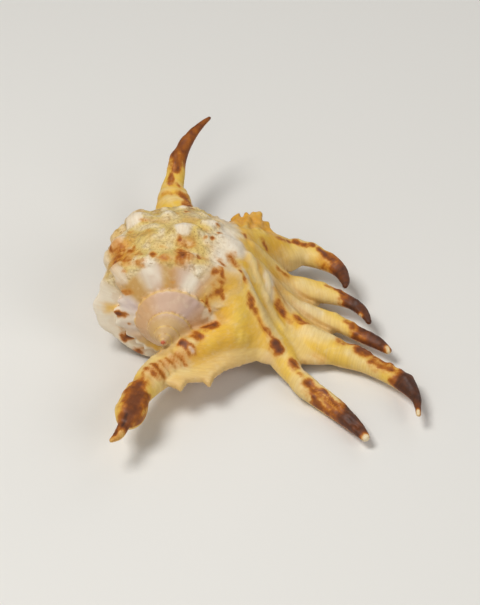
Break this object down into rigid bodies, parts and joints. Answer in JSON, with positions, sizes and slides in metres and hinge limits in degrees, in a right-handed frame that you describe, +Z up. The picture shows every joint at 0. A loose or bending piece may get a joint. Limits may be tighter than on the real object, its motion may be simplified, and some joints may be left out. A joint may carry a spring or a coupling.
{
  "type": "scorpion conch shell",
  "caption": "Sea shell lying with its opening down: coiled spire, knobbed body whorl, flared lip with long curved digits and a bent siphonal canal.",
  "frame": {"origin": "middle of the shell's box, on the surface that it rests on", "axes": "+Z up, +Y toward the tip of the siphonal canal, +X toward the digits of the lip"},
  "size_m": [0.1132, 0.1477, 0.0432],
  "materials": {
    "shell": "smooth, cream and golden tan with brown blotches"
  },
  "bodies": {
    "root": {"shell": "shell"}
  },
  "joints": []
}
